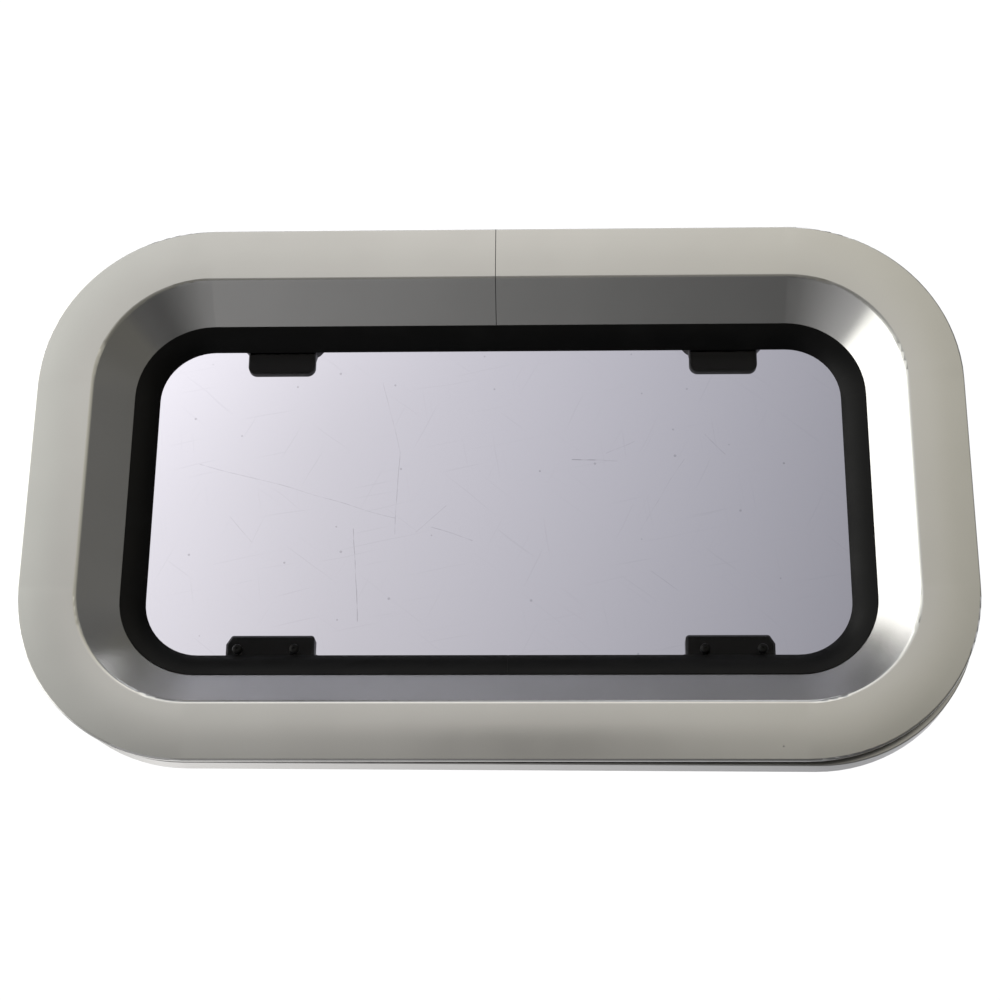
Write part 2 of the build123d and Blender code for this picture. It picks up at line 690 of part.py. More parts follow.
def make_latch_base(side):
    """Moulded base on the pane's inner face, bored for the spindle."""
    x = latch_x(side)
    base_w = (FITTING_W, BASE_END_W)
    base = plate(base_sketch(side, 0), base_w)
    base = chamfer(rim_edges(base, 0), 1.2)
    base = fillet(rim_edges(base, -1), 0.8)
    base -= disc(x, LATCH_Z, SPINDLE_R + RUN_CLEARANCE, base_w)
    base -= disc(x, LATCH_Z, SPINDLE_HEAD_R + 0.4, (base_w[0], base_w[0] + SPINDLE_HEAD_T + 0.5))
    for screw_x, screw_z in base_screw_places(side):
        base -= disc(screw_x, screw_z, BASE_SCREW_R + 0.05, (base_w[0], base_w[0] + 8))
    return base


def make_latch_gasket(side):
    sketch = base_sketch(side, 1.5)
    for x, z in base_screw_places(side):
        sketch -= Pos(x, z) * Circle(BASE_SCREW_R + 0.25)
    return plate(sketch, GASKET_W)


def make_latch_base_screws(side):
    kind = button_screw(BASE_SCREW_HEAD_R, BASE_SCREW_HEAD_T, BASE_SCREW_R, BASE_SCREW_LENGTH, SMALL_SOCKET_R)
    head_w = PANE_W[0] - BASE_SCREW_HEAD_T - 0.02
    return joined(outside_facing(x, head_w, z) * kind for x, z in base_screw_places(side))


def square_drive(side, w_range, clearance):
    size = SPINDLE_SQUARE + 2 * clearance
    return plate(Pos(latch_x(side), LATCH_Z) * Rectangle(size, size), w_range)


def make_latch_spindle(side):
    """Headed spindle: a round journal in the base, a square drive, and a threaded end."""
    x = latch_x(side)
    head_w = (FITTING_W + 0.2, FITTING_W + 0.2 + SPINDLE_HEAD_T)
    square_w = (TONGUE_W[0] - 0.05, NUT_FLOOR_W - 0.1)
    spindle = disc(x, LATCH_Z, SPINDLE_HEAD_R, head_w)
    spindle += disc(x, LATCH_Z, SPINDLE_R, (head_w[1], square_w[0]))
    spindle += square_drive(side, square_w, 0)
    spindle += disc(x, LATCH_Z, SPINDLE_THREAD_R, (square_w[1], NUT_W[1] + 0.2))
    return spindle


def make_latch_spring_washer(side):
    washer_w = (BASE_END_W + 0.05, BASE_END_W + 0.05 + WASHER_T)
    hole = disc(latch_x(side), LATCH_Z, SPINDLE_R + 0.3, washer_w)
    return disc(latch_x(side), LATCH_Z, SPACER_R, washer_w) - hole


def make_latch_tongue(side):
    """Flat tongue that turns in behind the keeper. At rest it lies along X, towards the middle."""
    x = latch_x(side)
    tip_x = x - side * (TONGUE_REACH - TONGUE_WIDTH / 2)
    arm = Pos((x + tip_x) / 2, LATCH_Z) * Rectangle(abs(x - tip_x), TONGUE_WIDTH)
    sketch = Pos(x, LATCH_Z) * Circle(TONGUE_HUB_R) + arm + Pos(tip_x, LATCH_Z) * Circle(TONGUE_WIDTH / 2)
    tongue = plate(sketch, TONGUE_W)
    tongue = chamfer(rim_edges(tongue, -1), 0.6)
    return tongue - square_drive(side, TONGUE_W, 0.05)


def make_latch_spacer(side):
    """Collar that carries the handle clear of the keeper's lip."""
    collar = disc(latch_x(side), LATCH_Z, SPACER_R, SPACER_W)
    return collar - square_drive(side, SPACER_W, 0.05)


def make_latch_handle(side):
    """Flat lever, wide at its hub and thinner towards its tip.
    At rest it lies nearly along X, towards the middle, with its tip a little low."""
    x = latch_x(side)
    tip_x = x - side * (HANDLE_REACH - HANDLE_TIP_R)
    hub = Pos(x, LATCH_Z) * Circle(HANDLE_HUB_R)
    tip = Pos(tip_x, LATCH_Z - HANDLE_TIP_LOW) * Circle(HANDLE_TIP_R)
    lever = plate(make_hull(hub.edges() + tip.edges()), HANDLE_W)
    slope_start = x - side * HANDLE_HUB_R
    slope_end = x - side * (HANDLE_REACH + 1)
    slope = [(slope_start, HANDLE_W[1]), (slope_end, HANDLE_W[1]), (slope_end, HANDLE_W[1] - HANDLE_TIP_DROP)]
    lever -= plan_profile(slope, (LATCH_Z - HANDLE_HUB_R - 2, LATCH_Z + HANDLE_HUB_R + 2))
    middle_y = y_of(sum(HANDLE_W) / 2)
    top_edges = [e for e in lever.edges() if e.center().Y > middle_y and abs(e.tangent_at(0.5).Z) < 0.99]
    lever = fillet(top_edges, HANDLE_EDGE_R)
    lever = chamfer(rim_edges(lever, 0), 0.5)
    lever -= square_drive(side, (HANDLE_W[0], NUT_FLOOR_W), 0.05)
    return lever - disc(x, LATCH_Z, CAP_R + 0.1, (NUT_FLOOR_W, HANDLE_W[1]))


def make_latch_nut(side):
    nut = plate(Pos(latch_x(side), LATCH_Z) * RegularPolygon(NUT_FLAT_R, 6, major_radius=False), NUT_W)
    return nut - disc(latch_x(side), LATCH_Z, SPINDLE_THREAD_R + 0.05, NUT_W)


def make_latch_cap(side):
    """Snap-in cap over the nut."""
    cap = disc(latch_x(side), LATCH_Z, CAP_R, CAP_W)
    return fillet(rim_edges(cap, -1), 0.6)


def make_keeper(side):
    """Keeper on the clamp ring: a foot with two screws, a wall, and the lip that holds the tongue."""
    center = latch_x(side)
    foot_w = (ON_RING_W, ON_RING_W + KEEPER_FOOT_T)
    foot_z = KEEPER_FOOT_Z
    foot_sketch = RectangleRounded(KEEPER_FOOT_WIDTH, foot_z[1] - foot_z[0], 2.5)
    body = plate(Pos(center, sum(foot_z) / 2) * foot_sketch, foot_w)
    root_w = foot_w[0] + 0.5
    outer_z, inner_z = KEEPER_WALL_Z
    lead_in = 0.8
    hook = side_profile(
        [
            (root_w, outer_z),
            (LIP_W[1], outer_z),
            (LIP_W[1], KEEPER_LIP_Z),
            (LIP_W[0] + lead_in, KEEPER_LIP_Z),
            (LIP_W[0], KEEPER_LIP_Z - 2 * lead_in),
            (LIP_W[0], inner_z),
            (root_w, inner_z),
        ],
        (center - KEEPER_LIP_WIDTH / 2, center + KEEPER_LIP_WIDTH / 2),
    )
    crest = hook.edges().filter_by(Axis.X).sort_by_distance((center, y_of(LIP_W[1]), outer_z))[0]
    body += fillet(crest, 2.0)
    for x, z in keeper_screw_places(side):
        body -= disc(x, z, RING_SCREW_R + 0.4, foot_w)
    return body


def make_keeper_screws(side):
    head_w = ON_RING_W + KEEPER_FOOT_T + FIXING_HEAD_T + 0.05
    return joined(inside_facing(x, head_w, z) * fixing_screw() for x, z in keeper_screw_places(side))


# ---- every node ----
SINGLE_NODES = {
    "outer_frame": make_outer_frame,
    "joint_sealant": make_joint_sealant,
    "joint_key": make_joint_key,
    "joint_key_screws": make_joint_key_screws,
    "trim_ring": make_trim_ring,
    "trim_ring_screws": make_trim_ring_screws,
    "frame_seal": make_frame_seal,
    "pane": make_pane,
}

SIDED_NODES = {
    "hinge_leaf": make_hinge_leaf,
    "hinge_leaf_gasket": make_hinge_leaf_gasket,
    "hinge_leaf_screws": make_hinge_leaf_screws,
    "hinge_bracket": make_hinge_bracket,
    "hinge_bracket_screws": make_hinge_bracket_screws,
    "hinge_pin": make_hinge_pin,
    "hinge_pin_clips": make_hinge_pin_clips,
    "hinge_washers": make_hinge_washers,
    "latch_base": make_latch_base,
    "latch_gasket": make_latch_gasket,
    "latch_base_screws": make_latch_base_screws,
    "latch_spindle": make_latch_spindle,
    "latch_spring_washer": make_latch_spring_washer,
    "latch_tongue": make_latch_tongue,
    "latch_spacer": make_latch_spacer,
    "latch_handle": make_latch_handle,
    "latch_nut": make_latch_nut,
    "latch_cap": make_latch_cap,
    "keeper": make_keeper,
    "keeper_screws": make_keeper_screws,
}

for name, make in SINGLE_NODES.items():
    export_step(make(), f"parts/{name}.step")

for name, make in SIDED_NODES.items():
    for side, word in ((-1, "left"), (1, "right")):
        export_step(make(side), f"parts/{name}_{word}.step")
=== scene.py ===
import math

import bpy
from mathutils import Matrix, Vector


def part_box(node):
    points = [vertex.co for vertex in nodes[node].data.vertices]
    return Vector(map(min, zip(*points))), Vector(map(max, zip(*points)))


# The opening porthole: its frame, sash, hinges and latches are CAD parts, and this script finishes them.
# Metres, in the row's frame: X along the window, Z up, and -Y is the outside, where the camera stands.

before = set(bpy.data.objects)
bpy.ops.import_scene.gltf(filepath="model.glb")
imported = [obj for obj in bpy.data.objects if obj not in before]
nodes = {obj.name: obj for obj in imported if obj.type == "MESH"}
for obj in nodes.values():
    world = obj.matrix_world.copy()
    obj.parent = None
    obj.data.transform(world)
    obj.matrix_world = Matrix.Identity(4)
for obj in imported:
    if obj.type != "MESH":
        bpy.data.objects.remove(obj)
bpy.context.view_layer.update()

# ---- sizes that the materials follow, from the frame ----
OUTER_LOW, OUTER_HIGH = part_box("outer_frame")
HALF_WIDTH = (OUTER_HIGH.x - OUTER_LOW.x) / 2
HALF_HEIGHT = (OUTER_HIGH.z - OUTER_LOW.z) / 2
CORNER_RADIUS = 0.092
FRONT_Y = OUTER_LOW.y
PANE_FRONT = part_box("pane")[0].y

# ---- surfaces ----
NOISE_ROUGHNESS = 0.55
LINE_STRETCH = 0.004  # how little the lines of an extrusion change along its length
ALUMINIUM_TONES = ((0.80, 0.795, 0.775, 1), (0.765, 0.76, 0.74, 1))
NICK_TONE = (0.35, 0.35, 0.34, 1)
RUBBER_SPECULAR = 0.18
ACRYLIC_IOR = 1.49

# ---- stage ----
FLOOR_RADIUS = 1.9
FLOOR_HEIGHT = -0.95
FLOOR_PALE = (0.80, 0.80, 0.79, 1)
FLOOR_SHADE_LEFT = (0.31, 0.31, 0.313, 1)
FLOOR_SHADE_RIGHT = (0.037, 0.037, 0.037, 1)
SIDE_REACH = 0.4  # the front light changes between this far left and this far right
MIRRORED_WALL = 0.85  # the even level of the wall behind, as reflections see it
BASE_LIGHT = 0.11  # from every direction
BACKDROP = 1.05  # what the camera sees directly: plain white
CAMERA_TILT, CAMERA_YAW, CAMERA_ROLL = 20.34, 2.01, 0.47  # degrees
CAMERA_PLACE = (0.0365, FRONT_Y - 0.9815, -0.3748)
CAMERA_LENS, SENSOR_WIDTH = 71.67, 36.0  # millimetres

# Scratches on the pane's outside face: start and end as (x, z), half width, and how dark they are.
SCRATCHES = (
    ((-0.163, 0.021), (-0.055, -0.010), 0.00026, 0.55),
    ((-0.064, 0.070), (-0.0545, 0.027), 0.00026, 0.40),
    ((-0.0545, 0.027), (-0.0555, -0.019), 0.00028, 0.60),
    ((-0.078, -0.016), (-0.0745, -0.069), 0.00030, 0.85),
    ((0.040, 0.0233), (0.065, 0.0225), 0.00036, 0.95),
    ((0.0587, 0.027), (0.074, 0.0345), 0.00026, 0.40),
    ((-0.0357, -0.0156), (-0.0128, -0.0228), 0.00028, 0.60),
    ((-0.145, -0.0095), (-0.1326, -0.0243), 0.00026, 0.40),
    ((0.1132, 0.038), (0.124, 0.0263), 0.00026, 0.50),
    ((0.0765, -0.018), (0.102, 0.023), 0.00024, 0.30),
    ((-0.044, -0.018), (-0.028, -0.004), 0.00026, 0.40),
    ((0.082, -0.041), (0.096, -0.052), 0.00026, 0.40),
)


# ---- small helpers for node trees ----
class Tree:
    """A material's or world's node tree, with short ways to add and join nodes."""

    def __init__(self, owner):
        owner.use_nodes = True
        self.tree = owner.node_tree
        self.tree.nodes.clear()

    def node(self, kind, inputs=(), **settings):
        """A new node, with its settings and then its inputs: each a value or a socket to join."""
        made = self.tree.nodes.new(kind)
        for name, value in settings.items():
            setattr(made, name, value)
        for key, value in dict(inputs).items():
            self.set(made.inputs[key], value)
        return made

    def set(self, socket, value):
        if isinstance(value, bpy.types.NodeSocket):
            self.tree.links.new(value, socket)
        else:
            socket.default_value = value

    def math(self, operation, *values):
        made = self.node("ShaderNodeMath", operation=operation)
        for socket, value in zip(made.inputs, values):
            self.set(socket, value)
        return made.outputs[0]

    def vector(self, operation, *values, out=0):
        made = self.node("ShaderNodeVectorMath", operation=operation)
        for socket, value in zip(made.inputs, values):
            self.set(socket, value)
        return made.outputs[out]

    def scaled(self, vector, factor):
        made = self.node("ShaderNodeVectorMath", operation="SCALE")
        self.set(made.inputs[0], vector)
        self.set(made.inputs["Scale"], factor)
        return made.outputs[0]

    def ramp(self, factor, stops):
        """A colour ramp of (position, (red, green, blue)) stops."""
        made = self.node("ShaderNodeValToRGB", {"Fac": factor})
        elements = made.color_ramp.elements
        while len(elements) < len(stops):
            elements.new(0.5)
        for element, (position, colour) in zip(elements, stops):
            element.position = position
            element.color = (*colour, 1)
        return made.outputs["Color"]

    def remap(self, value, low, high, to_low, to_high, smooth=True):
        """The value's place between low and high, carried over to between to_low and to_high."""
        kind = "SMOOTHSTEP" if smooth else "LINEAR"
        made = self.node("ShaderNodeMapRange", interpolation_type=kind)
        for name, setting in (
            ("Value", value), ("From Min", low), ("From Max", high), ("To Min", to_low), ("To Max", to_high),
        ):
            self.set(made.inputs[name], setting)
        return made.outputs["Result"]

    def noise(self, vector, scale, detail):
        inputs = {"Vector": vector, "Scale": scale, "Detail": detail, "Roughness": NOISE_ROUGHNESS}
        return self.node("ShaderNodeTexNoise", inputs).outputs["Fac"]

    def mix(self, factor, first, second):
        """From the first colour at factor 0 to the second at 1."""
        made = self.node("ShaderNodeMix", data_type="RGBA")
        self.set(made.inputs["Factor"], factor)
        self.set(made.inputs["A"], first)
        self.set(made.inputs["B"], second)
        return made.outputs["Result"]

    def blend(self, factor, first, second):
        """Like mix, but of two plain numbers."""
        made = self.node("ShaderNodeMix", data_type="FLOAT")
        for name, value in (("Factor", factor), ("A", first), ("B", second)):
            self.set(made.inputs[name], value)
        return made.outputs["Result"]

    def bump(self, height, strength, distance):
        made = self.node("ShaderNodeBump", {"Strength": strength, "Distance": distance, "Height": height})
        return made.outputs["Normal"]

    def position(self):
        """Where a point is on its own object, in metres in the row's frame at rest."""
        return self.node("ShaderNodeTexCoord").outputs["Object"]


def rgb(red, green, blue):
    """A colour in scene light from its screen values, 0 to 255."""
    def one(value):
        share = value / 255
        return share / 12.92 if share <= 0.04045 else ((share + 0.055) / 1.055) ** 2.4
    return (one(red), one(green), one(blue), 1.0)


def new_surface(name):
    """A material with a Principled shader: returns the material, its tree and the shader."""
    material = bpy.data.materials.new(name)
    tree = Tree(material)
    shader = tree.node("ShaderNodeBsdfPrincipled")
    output = tree.node("ShaderNodeOutputMaterial")
    tree.tree.links.new(shader.outputs["BSDF"], output.inputs["Surface"])
    return material, tree, shader


# ---- metals ----
def along_and_across(tree):
    """A place on the bent frame: across is its distance in from the outer outline, along an angle that runs
    round the frame, and the third value is its depth."""
    where = tree.node("ShaderNodeSeparateXYZ", {"Vector": tree.position()})
    x, y, z = (where.outputs[axis] for axis in "XYZ")
    beyond_x = tree.math("SUBTRACT", tree.math("ABSOLUTE", x), HALF_WIDTH - CORNER_RADIUS)
    beyond_z = tree.math("SUBTRACT", tree.math("ABSOLUTE", z), HALF_HEIGHT - CORNER_RADIUS)
    outside_x = tree.math("MAXIMUM", beyond_x, 0.0)
    outside_z = tree.math("MAXIMUM", beyond_z, 0.0)
    square_x = tree.math("MULTIPLY", outside_x, outside_x)
    square_z = tree.math("MULTIPLY", outside_z, outside_z)
    inside = tree.math("MINIMUM", tree.math("MAXIMUM", beyond_x, beyond_z), 0.0)
    distance = tree.math("ADD", tree.math("SQRT", tree.math("ADD", square_x, square_z)), inside)
    across = tree.math("SUBTRACT", CORNER_RADIUS, distance)
    along = tree.math("ARCTAN2", z, tree.math("MULTIPLY", x, HALF_HEIGHT / HALF_WIDTH))
    return across, along, y


def extrusion_lines(tree, scale, detail):
    """Faint lines that run round the bent frame, as the die leaves them."""
    across, along, depth = along_and_across(tree)
    place = {"X": across, "Y": tree.math("MULTIPLY", along, LINE_STRETCH), "Z": depth}
    return tree.noise(tree.node("ShaderNodeCombineXYZ", place).outputs[0], scale, detail)


def anodised(name, roughness, die_lines):
    """Satin anodised aluminium, with faint die lines along the extrusion, cloudy etching and small marks."""
    material, tree, shader = new_surface(name)
    where = tree.position()
    lines = extrusion_lines(tree, 1400.0, detail=3.0)
    cloud = tree.noise(where, 14.0, detail=3.0)
    grain = tree.noise(where, 2600.0, detail=2.0)
    light, dark = ALUMINIUM_TONES
    colour = tree.mix(tree.remap(cloud, 0.3, 0.7, 0.0, 1.0), dark, light)
    cells = tree.node("ShaderNodeTexVoronoi", {"Vector": where, "Scale": 55.0})
    chance = tree.node("ShaderNodeSeparateColor", {"Color": cells.outputs["Color"]})
    nick_size = tree.remap(chance.outputs["Red"], 0.80, 1.0, 0.0, 0.03)
    nick = tree.math("LESS_THAN", cells.outputs["Distance"], nick_size)
    colour = tree.mix(tree.math("MULTIPLY", nick, 0.6), colour, NICK_TONE)
    rough = tree.math("ADD", roughness, tree.math("MULTIPLY", tree.math("SUBTRACT", cloud, 0.5), 0.06))
    rough = tree.math("ADD", rough, tree.math("MULTIPLY", tree.math("SUBTRACT", grain, 0.5), 0.05))
    height = tree.math("ADD", tree.math("MULTIPLY", lines, die_lines), tree.math("MULTIPLY", grain, 0.5))
    tree.set(shader.inputs["Base Color"], colour)
    tree.set(shader.inputs["Metallic"], 1.0)
    tree.set(shader.inputs["Roughness"], rough)
    tree.set(shader.inputs["Normal"], tree.bump(height, 0.10, 0.00003))
    return material


def steel(name, colour, roughness):
    """Plain turned or pressed stainless steel."""
    material, tree, shader = new_surface(name)
    where = tree.position()
    cloud = tree.noise(where, 220.0, detail=3.0)
    grain = tree.noise(where, 4200.0, detail=2.0)
    tree.set(shader.inputs["Base Color"], tree.mix(cloud, rgb(*[c * 0.9 for c in colour]), rgb(*colour)))
    tree.set(shader.inputs["Metallic"], 1.0)
    tree.set(shader.inputs["Roughness"], tree.remap(cloud, 0.3, 0.7, roughness - 0.05, roughness + 0.07))
    tree.set(shader.inputs["Normal"], tree.bump(grain, 0.15, 0.00003))
    return material


# ---- rubber and plastics ----
def moulded_plastic(name, colour, roughness, texture, specular=0.5):
    """Moulded plastic, or a coat like it, with a fine spark texture and slightly shinier patches."""
    material, tree, shader = new_surface(name)
    shader.inputs["Specular IOR Level"].default_value = specular
    where = tree.position()
    cloud = tree.noise(where, 60.0, detail=3.0)
    spark = tree.noise(where, 3000.0, detail=2.0)
    tree.set(shader.inputs["Base Color"], tree.mix(cloud, rgb(*[c * 0.85 for c in colour]), rgb(*colour)))
    tree.set(shader.inputs["Roughness"], tree.remap(cloud, 0.25, 0.75, roughness - 0.06, roughness + 0.06))
    tree.set(shader.inputs["Normal"], tree.bump(spark, texture, 0.00005))
    return material


def rubber(name, colour, roughness):
    """Extruded rubber: faint lines along its length, with patches of dust."""
    material, tree, shader = new_surface(name)
    shader.inputs["Specular IOR Level"].default_value = RUBBER_SPECULAR
    where = tree.position()
    lines = extrusion_lines(tree, 900.0, detail=2.0)
    dust = tree.noise(where, 45.0, detail=4.0)
    pores = tree.noise(where, 2500.0, detail=2.0)
    dusty = rgb(*[c + 5 for c in colour])
    dusting = tree.remap(dust, 0.45, 0.75, 0.0, 1.0)
    tree.set(shader.inputs["Base Color"], tree.mix(dusting, rgb(*colour), dusty))
    tree.set(shader.inputs["Roughness"], tree.remap(dust, 0.3, 0.7, roughness - 0.05, roughness + 0.08))
    height = tree.math("ADD", lines, tree.math("MULTIPLY", pores, 0.3))
    tree.set(shader.inputs["Normal"], tree.bump(height, 0.15, 0.00005))
    return material


# ---- acrylic ----
def scratch(tree, place, start, end, width, depth):
    """A scratch from start to end, (x, z) on the pane: full depth on its line, and none beyond its width."""
    origin = Vector((start[0], 0, start[1]))
    run = Vector((end[0], 0, end[1])) - origin
    heading = tuple(run.normalized())
    from_start = tree.vector("SUBTRACT", place, tuple(origin))
    along = tree.vector("DOT_PRODUCT", from_start, heading, out=1)
    along = tree.math("MINIMUM", tree.math("MAXIMUM", along, 0.0), run.length)
    distance = tree.vector("LENGTH", tree.vector("SUBTRACT", from_start, tree.scaled(heading, along)), out=1)
    return tree.remap(distance, width * 0.4, width, depth, 0.0)


def hairlines(tree, place, angle, seed):
    """Short fine scratches that all lie near one direction."""
    cosine, sine = math.cos(math.radians(angle)), math.sin(math.radians(angle))
    along = tree.vector("DOT_PRODUCT", place, (cosine, 0.0, sine), out=1)
    aside = tree.vector("DOT_PRODUCT", place, (-sine, 0.0, cosine), out=1)
    stretched = tree.node(
        "ShaderNodeCombineXYZ",
        {"X": tree.math("MULTIPLY", along, 22.0), "Y": tree.math("MULTIPLY", aside, 900.0), "Z": seed},
    )
    return tree.remap(tree.noise(stretched.outputs[0], 1.0, detail=0.0), 0.76, 0.86, 0.0, 0.10)


def smoked_acrylic(name):
    """Lightly smoked clear acrylic, used: long scratches, fine hairlines and specks on its outside face."""
    material, tree, shader = new_surface(name)
    where = tree.node("ShaderNodeSeparateXYZ", {"Vector": tree.position()})
    flat = tree.node("ShaderNodeCombineXYZ", {"X": where.outputs["X"], "Z": where.outputs["Z"]}).outputs[0]
    wander = tree.node("ShaderNodeTexNoise", {"Vector": flat, "Scale": 18.0, "Detail": 2.0})
    offset = tree.scaled(tree.vector("SUBTRACT", wander.outputs["Color"], (0.5, 0.5, 0.5)), 0.005)
    place = tree.vector("MULTIPLY", tree.vector("ADD", flat, offset), (1.0, 0.0, 1.0))
    marks = 0.0
    for start, end, width, depth in SCRATCHES:
        marks = tree.math("MAXIMUM", marks, scratch(tree, place, start, end, width, depth))
    broken = tree.remap(tree.noise(place, 160.0, detail=2.0), 0.35, 0.6, 0.2, 0.8)
    marks = tree.math("MULTIPLY", marks, broken)
    for angle, seed in ((12.0, 1.3), (-38.0, 4.7), (64.0, 8.1), (-81.0, 11.9)):
        marks = tree.math("MAXIMUM", marks, hairlines(tree, place, angle, seed))
    grid = tree.node("ShaderNodeCombineXYZ", {"X": where.outputs["X"], "Y": where.outputs["Z"]}).outputs[0]
    cells = tree.node("ShaderNodeTexVoronoi", {"Vector": grid, "Scale": 38.0}, voronoi_dimensions="2D")
    chance = tree.node("ShaderNodeSeparateColor", {"Color": cells.outputs["Color"]})
    kept = tree.remap(chance.outputs["Red"], 0.62, 0.63, 0.0, 1.0)
    size = tree.remap(chance.outputs["Green"], 0.0, 1.0, 0.012, 0.030, smooth=False)
    speck = tree.math("MULTIPLY", kept, tree.math("LESS_THAN", cells.outputs["Distance"], size))
    marks = tree.math("MAXIMUM", marks, tree.math("MULTIPLY", speck, 0.5))
    outside = tree.remap(where.outputs["Y"], PANE_FRONT + 0.0005, PANE_FRONT + 0.001, 1.0, 0.0)
    marks = tree.math("MULTIPLY", marks, outside)
    tree.set(shader.inputs["Base Color"], tree.mix(marks, rgb(148, 147, 153.5), rgb(70, 69, 74)))
    tree.set(shader.inputs["Roughness"], tree.math("MULTIPLY", marks, 0.35))
    tree.set(shader.inputs["IOR"], ACRYLIC_IOR)
    tree.set(shader.inputs["Specular Tint"], (0.25, 0.25, 0.25, 1))
    tree.set(shader.inputs["Transmission Weight"], 1.0)
    return material


# ---- finish for every CAD part ----
ANODISED = anodised("anodised_satin", 0.22, 0.18)
RING_ANODISED = anodised("anodised_ring", 0.30, 0.25)
STAINLESS = steel("stainless_plain", (205, 204, 200), 0.28)
BLACK_STEEL = moulded_plastic("black_coated_steel", (9, 9, 9), 0.30, 0.05, specular=0.2)
BLACK_NYLON = moulded_plastic("black_nylon_moulded", (22, 22, 23), 0.32, 0.18)
WHITE_NYLON = moulded_plastic("white_nylon_washer", (226, 225, 220), 0.45, 0.1)
RUBBER = rubber("seal_rubber", (10, 10, 11), 0.38)
GASKET = rubber("gasket_rubber", (24, 24, 25), 0.6)
ACRYLIC = smoked_acrylic("smoked_acrylic")

# The first start of a name that fits counts, so a longer name comes before a shorter one.
FINISHES = (
    ("outer_frame", ANODISED), ("trim_ring_screws", STAINLESS), ("trim_ring", RING_ANODISED),
    ("frame_seal", RUBBER), ("pane", ACRYLIC), ("joint_key", STAINLESS), ("joint_sealant", GASKET),
    ("hinge_leaf_gasket", GASKET), ("latch_gasket", GASKET), ("hinge_leaf_screws", STAINLESS),
    ("hinge_bracket_screws", STAINLESS), ("hinge_pin", STAINLESS), ("hinge_washers", WHITE_NYLON),
    ("hinge_leaf", BLACK_NYLON), ("hinge_bracket", BLACK_NYLON), ("latch_base_screws", BLACK_STEEL),
    ("latch_base", BLACK_NYLON), ("latch_spindle", STAINLESS), ("latch_spring_washer", STAINLESS),
    ("latch_tongue", STAINLESS), ("latch_nut", STAINLESS), ("latch_handle", BLACK_NYLON),
    ("latch_cap", BLACK_NYLON), ("latch_spacer", BLACK_NYLON), ("keeper_screws", STAINLESS),
    ("keeper", BLACK_NYLON),
)


def finish_nodes():
    """Give every CAD part its material."""
    for name, piece in nodes.items():
        material = next(found for prefix, found in FINISHES if name.startswith(prefix))
        piece.data.materials.clear()
        piece.data.materials.append(material)


finish_nodes()


# ---- stage ----
def add_floor():
    """A round floor, well below the hanging window. It is pale where the camera meets it, directly or through
    the pane. To reflections and bounced light it is a floor in shade, darker towards the right."""
    bpy.ops.mesh.primitive_circle_add(
        vertices=96, radius=FLOOR_RADIUS, fill_type="NGON", location=(0, 0, FLOOR_HEIGHT)
    )
    floor = bpy.context.object
    floor.name = "floor"
    material, tree, shader = new_surface("pale_floor")
    across = tree.node("ShaderNodeSeparateXYZ", {"Vector": tree.position()}).outputs["X"]
    darker = tree.remap(across, -1.2, 0.7, 0.0, 1.0)
    far_right = tree.remap(across, 0.5, 0.85, 0.0, 0.07)
    reflected = tree.mix(tree.math("SUBTRACT", darker, far_right), FLOOR_SHADE_LEFT, FLOOR_SHADE_RIGHT)
    path = tree.node("ShaderNodeLightPath").outputs
    seen = tree.math("MAXIMUM", path["Is Camera Ray"], path["Is Transmission Ray"])
    tree.set(shader.inputs["Base Color"], tree.mix(seen, reflected, FLOOR_PALE))
    tree.set(shader.inputs["Roughness"], 0.8)
    floor.data.materials.append(material)


def lobe(tree, direction, towards, low, high, level):
    """A soft patch of light round a direction: it starts at cosine low and is full at cosine high."""
    aim = Vector(towards).normalized()
    cosine = tree.vector("DOT_PRODUCT", direction, tuple(aim), out=1)
    return tree.remap(cosine, low, high, 0.0, level)


def product(tree, *values):
    """All the values multiplied together."""
    total = values[0]
    for value in values[1:]:
        total = tree.math("MULTIPLY", total, value)
    return total


# The light from the front, by the height of its direction, from level at 0 to straight up at 1.
FRONT_BY_HEIGHT = (
    (0.0, 0.08), (0.10, 0.20), (0.20, 0.42), (0.28, 0.48), (0.36, 0.57), (0.46, 0.60), (0.60, 0.64),
    (0.72, 1.5), (0.88, 1.5), (1.0, 0.3),
)
# The same light by how far right its direction is, up to SIDE_REACH each way.
FRONT_BY_SIDE = (
    (-0.4, 1.0), (-0.28, 0.96), (-0.20, 0.90), (-0.06, 0.96), (0.14, 0.86), (0.20, 0.71), (0.30, 0.62),
    (0.4, 0.60),
)
# The colour of that light, also by how far right its direction is.
WARM_BY_SIDE = (
    (-0.25, (1.0, 1.0, 0.955)), (-0.16, (1.0, 0.972, 0.935)), (0.05, (1.0, 0.972, 0.92)),
    (0.20, (1.0, 0.966, 0.845)),
)


def by_side(tree, side, stops):
    """A ramp over the side, whose stops are given by how far right a direction is."""
    return tree.ramp(side, [((place + SIDE_REACH) / (2 * SIDE_REACH), colour) for place, colour in stops])


